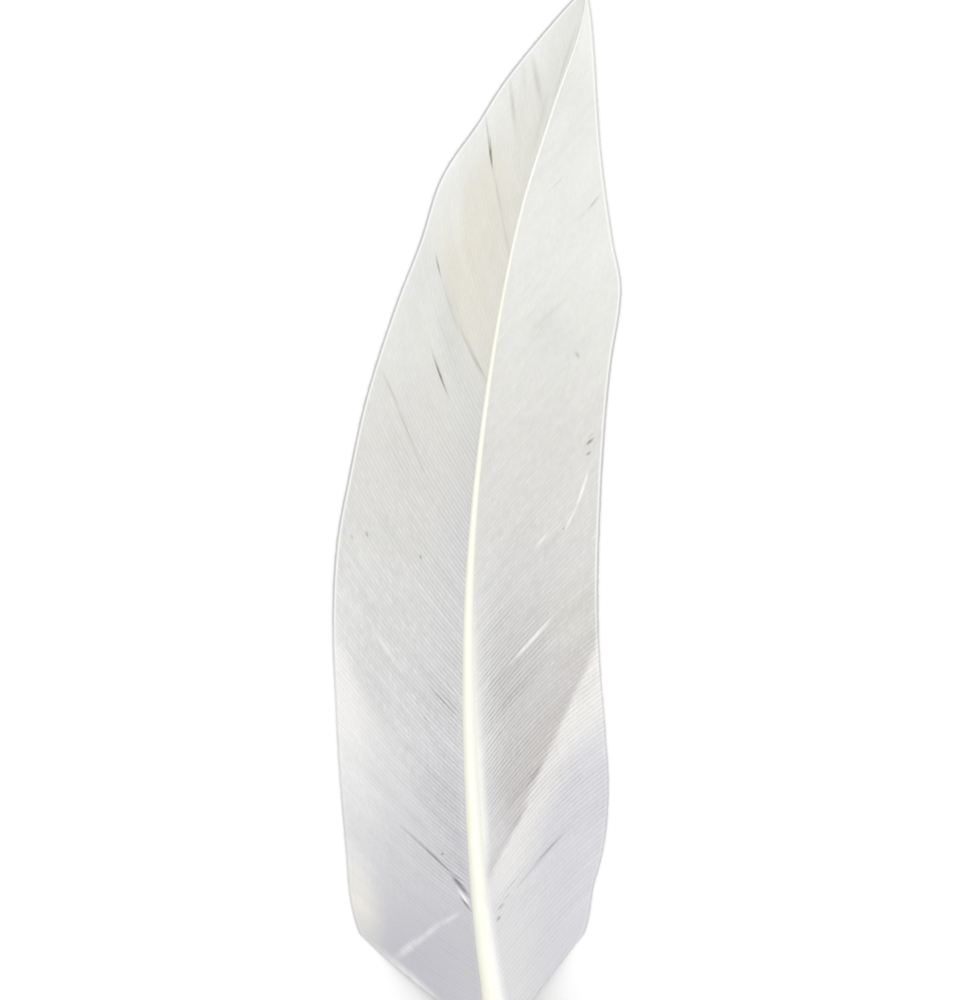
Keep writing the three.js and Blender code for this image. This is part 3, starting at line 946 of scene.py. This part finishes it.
class FEATHER_OT_grow_vanes(bpy.types.Operator):
    """Makes the two vanes, each a web of ribbon-like barbs"""

    bl_idname = "feather.grow_vanes"
    bl_label = "Grow Vanes"

    def execute(self, context):
        look = context.scene.feather_vane
        for side in (LEFT, RIGHT):
            self.grow(side, look)
        return {"FINISHED"}

    def grow(self, side, look):
        random = np.random.default_rng(look.seed + side)
        barb_map = BarbMap(side)
        lane, lift = np.array(RIBBON_TOP + RIBBON_UNDER).T
        roots, spacing = barb_map.roots()
        count = len(roots)
        roots = roots + random.uniform(-ROOT_STRAY, ROOT_STRAY, count) * spacing
        even = np.linspace(0, 1, look.stations)
        shares = 0.5 * even + 0.5 * (0.5 - 0.5 * np.cos(np.pi * even))
        shift = parting_shift(barb_map, roots, shares)

        # The barbs lie a little unevenly: they crowd and spread in slow waves.
        reach = shares[None, :]
        wave = np.sin(roots[:, None] / 1.9 + 5.0 * reach + side) * np.sin(roots[:, None] / 7.3)
        wave += 0.7 * np.sin(roots[:, None] / 1.1 - 9.0 * reach)
        shift += look.crowding / MM * wave * np.sin(np.pi * reach)

        offset = lane[None, None, :] * spacing[:, None, None]
        root = roots[:, None, None] + shift[:, :, None] + offset
        root = np.clip(root, VANE_FOOT, SHAFT_END)
        length = np.linalg.norm(barb_map.run(roots), axis=-1)
        trim = 1 + random.uniform(*END_STRAY, count) / length
        share = np.broadcast_to(shares[None, :, None] * trim[:, None, None], root.shape)
        plan = barb_map.plan(root, share)

        taper = 1 - RIDGE_TAPER * share
        height = barb_map.height(root, share) + lift[None, None, :] * taper * look.ridge / MM
        ripple = np.sin(plan[..., 1] / 3.1 + side) * np.sin(plan[..., 0] / 2.3 + 0.8)
        loose = random.normal(0, BARB_LOOSENESS, count)[:, None, None]
        height += (RIPPLE * ripple + loose) * np.sin(np.pi * np.clip(share, 0, 1))
        rings = np.concatenate([plan, height[..., None]], -1)

        along = plan[..., 1]
        beside = np.abs(plan[..., 0] - shaft_across(along)) - 0.5 * shaft_width(along)
        lanes = {
            "lane": lane[None, None, :],
            "share": share,
            "climb": (roots[:, None, None] - VANE_FOOT) / (SHAFT_END - VANE_FOOT),
            "rise": along / TIP_ALONG,
            "strand": random.normal(0, 1, count)[:, None, None],
            "beside": np.minimum(beside, WEB_FAR),
            "inset": barb_map.edge_distance(plan),
        }
        made = rings_mesh(SIDE_NAMES[side] + "_web", rings, lanes, 50)
        made.data.materials.append(vane_finish(side, look))
        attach(made, "root")
        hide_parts(SIDE_NAMES[side] + "_vane")


DOWN_STRAY = (0.72, 0.98)  # of a downy barb's full length
FOOT_TILT, TILT_CHANGE, TILT_SPREAD = 98, -26, 6  # degrees from the feather's length
BEND, BEND_SPREAD = -10, 12  # degrees
STEM_RADIUS, STEM_THINNING = 0.06, 0.045
THREADS = 58  # on each side of a downy barb
THREAD_LENGTH = (1.0, 1.9)
THREAD_RADIUS, THREAD_THINNING = 0.017, 0.010


class FEATHER_OT_grow_down(bpy.types.Operator):
    """Makes the two tufts of down at the vanes' foot"""

    bl_idname = "feather.grow_down"
    bl_label = "Grow Down"

    def execute(self, context):
        look = context.scene.feather_down
        for side in (LEFT, RIGHT):
            self.grow(side, look)
        return {"FINISHED"}

    def grow(self, side, look):
        random = np.random.default_rng(look.seed + side)
        up = (np.arange(look.barbs) + random.uniform(0, 1, look.barbs)) / look.barbs
        root = (look.foot + (look.top - look.foot) * up) / MM
        length = (look.foot_length + (look.top_length - look.foot_length) * up) / MM
        length *= random.uniform(*DOWN_STRAY, look.barbs)
        tilt = np.radians(FOOT_TILT + TILT_CHANGE * up + random.normal(0, TILT_SPREAD, look.barbs))
        bend = np.radians(random.normal(BEND, BEND_SPREAD, look.barbs))
        level = random.uniform(-0.5, 0.5, look.barbs)
        start_across = shaft_across(root) + side * 0.4 * shaft_width(root)

        def stem(share):
            """Points on every downy barb at an array of shares."""
            angle = tilt[:, None] + bend[:, None] * share
            out = length[:, None] * share
            x = start_across[:, None] + side * np.sin(angle) * out
            y = root[:, None] + np.cos(angle) * out
            fan = level[:, None] * (0.4 + 1.5 * np.sin(np.pi * 0.7 * share))
            z = shaft_height(root)[:, None] + fan - 1.7 * share**2
            return np.stack([x, y, z], -1)

        steps = np.linspace(0, 1, 24)
        radius = STEM_RADIUS - STEM_THINNING * steps[None, :]
        stems = rings_mesh(
            SIDE_NAMES[side] + "_down_stems", tube(stem(steps), radius, 4),
            {"share": steps[None, :, None], "strand": random.normal(0, 1, (look.barbs, 1, 1))}, 20)

        # Barbules: fine soft threads out of both sides of every stem.
        at = np.linspace(0.04, 0.99, THREADS)
        base = stem(at).reshape(-1, 3)
        ahead = (stem(at + 0.01) - stem(at)).reshape(-1, 3)
        ahead /= np.linalg.norm(ahead, axis=-1, keepdims=True)
        out = np.linspace(0, 1, 5)[None, :, None]
        both_ways = []
        for way in (-1, 1):
            flat = np.stack([-ahead[:, 1], ahead[:, 0], 0 * ahead[:, 0]], -1) * way
            roll = random.normal(0, 0.7, len(base))[:, None]
            across = flat * np.cos(roll) + np.array([0, 0, 1.0]) * np.sin(roll)
            reach = random.uniform(*THREAD_LENGTH, len(base)) * (1 - 0.4 * np.tile(at, look.barbs))
            curl = random.normal(0, 0.2, (len(base), 1, 3)) * out**2
            way_out = across[:, None, :] * out * (1.1 - 0.35 * out)
            forward = ahead[:, None, :] * out * (0.5 + 0.5 * out)
            threads = base[:, None, :] + reach[:, None, None] * (way_out + forward + curl)
            both_ways.append(tube(threads, THREAD_RADIUS - THREAD_THINNING * out[..., 0], 3))
        fine = np.concatenate(both_ways)
        fine_share = np.tile(at, 2 * look.barbs)[:, None, None]
        threads = rings_mesh(
            SIDE_NAMES[side] + "_down_threads", fine,
            {"share": fine_share, "strand": random.normal(0, 1, (len(fine), 1, 1))}, 70)
        finish = down_finish(side, look)
        for made in (stems, threads):
            made.data.materials.append(finish)
            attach(made, "root")
            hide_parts(SIDE_NAMES[side] + "_down")


# In metres; the camera's distance is counted from a little above the surface.
FLOOR_HALF, LAMP_SIZE, LAMP_ACROSS, LAMP_HEIGHT, FOCUS_HEIGHT = 1.5, 0.35, 0.05, 0.62, 0.0015


class FEATHER_OT_set_stage(bpy.types.Operator):
    """Sets the floor, the light and the camera"""

    bl_idname = "feather.set_stage"
    bl_label = "Set Stage"

    def execute(self, context):
        look = context.scene.feather_stage
        scene = context.scene
        scene.view_settings.view_transform = "Standard"
        middle = look.view_middle + ROW_OFFSET[1] * MM

        half = FLOOR_HALF
        floor_mesh = bpy.data.meshes.new("floor")
        corners = [(-half, -half, 0), (half, -half, 0), (half, half, 0), (-half, half, 0)]
        floor_mesh.from_pydata(corners, [], [(0, 1, 2, 3)])
        floor = bpy.data.objects.new("floor", floor_mesh)
        scene.collection.objects.link(floor)
        paper = Finish("plain_floor", roughness=0.9)
        paper.shader.inputs["Base Color"].default_value = (*look.floor_tone, 1.0)
        floor.data.materials.append(paper.material)

        world = bpy.data.worlds.new("soft_sky")
        world.use_nodes = True
        world.node_tree.nodes["Background"].inputs["Color"].default_value = (1, 1, 1, 1)
        world.node_tree.nodes["Background"].inputs["Strength"].default_value = look.sky
        scene.world = world

        lamp = bpy.data.lights.new("soft_key", "AREA")
        lamp.shape = "DISK"
        lamp.size = LAMP_SIZE
        lamp.energy = look.key
        key = bpy.data.objects.new("soft_key", lamp)
        key.location = (LAMP_ACROSS, middle, LAMP_HEIGHT)
        aim = Vector((0, middle, 0)) - key.location
        key.rotation_mode = "QUATERNION"
        key.rotation_quaternion = aim.to_track_quat("-Z", "Y")
        scene.collection.objects.link(key)

        camera_data = bpy.data.cameras.new("camera")
        camera_data.sensor_width = 36.0
        camera_data.lens = look.lens
        camera = bpy.data.objects.new("camera", camera_data)
        distance = look.view_height * look.lens / camera_data.sensor_width
        camera.location = (0.0, middle, distance + FOCUS_HEIGHT)
        scene.collection.objects.link(camera)
        scene.camera = camera
        return {"FINISHED"}


class FEATHER_PT_panel(bpy.types.Panel):
    """The feather's operators, in the order that they are run"""

    bl_idname = "FEATHER_PT_panel"
    bl_label = "Goose Quill Feather"
    bl_space_type = "VIEW_3D"
    bl_region_type = "UI"
    bl_category = "Feather"

    def draw(self, context):
        for operator in OPERATORS:
            self.layout.operator(operator.bl_idname)


SETTINGS = {
    "feather_shaft": FEATHER_PG_shaft,
    "feather_vane": FEATHER_PG_vane,
    "feather_down": FEATHER_PG_down,
    "feather_stage": FEATHER_PG_stage,
}
OPERATORS = (
    FEATHER_OT_grow_shaft,
    FEATHER_OT_grow_vanes,
    FEATHER_OT_grow_down,
    FEATHER_OT_set_stage,
)


def register():
    for made in (*SETTINGS.values(), *OPERATORS, FEATHER_PT_panel):
        bpy.utils.register_class(made)
    for name, group in SETTINGS.items():
        setattr(bpy.types.Scene, name, PointerProperty(type=group))


def unregister():
    for name in SETTINGS:
        delattr(bpy.types.Scene, name)
    for made in reversed((*SETTINGS.values(), *OPERATORS, FEATHER_PT_panel)):
        bpy.utils.unregister_class(made)


def main():
    register()
    bpy.ops.feather.grow_shaft()
    bpy.ops.feather.grow_vanes()
    bpy.ops.feather.grow_down()
    bpy.ops.feather.set_stage()


if __name__ == "__main__":
    main()
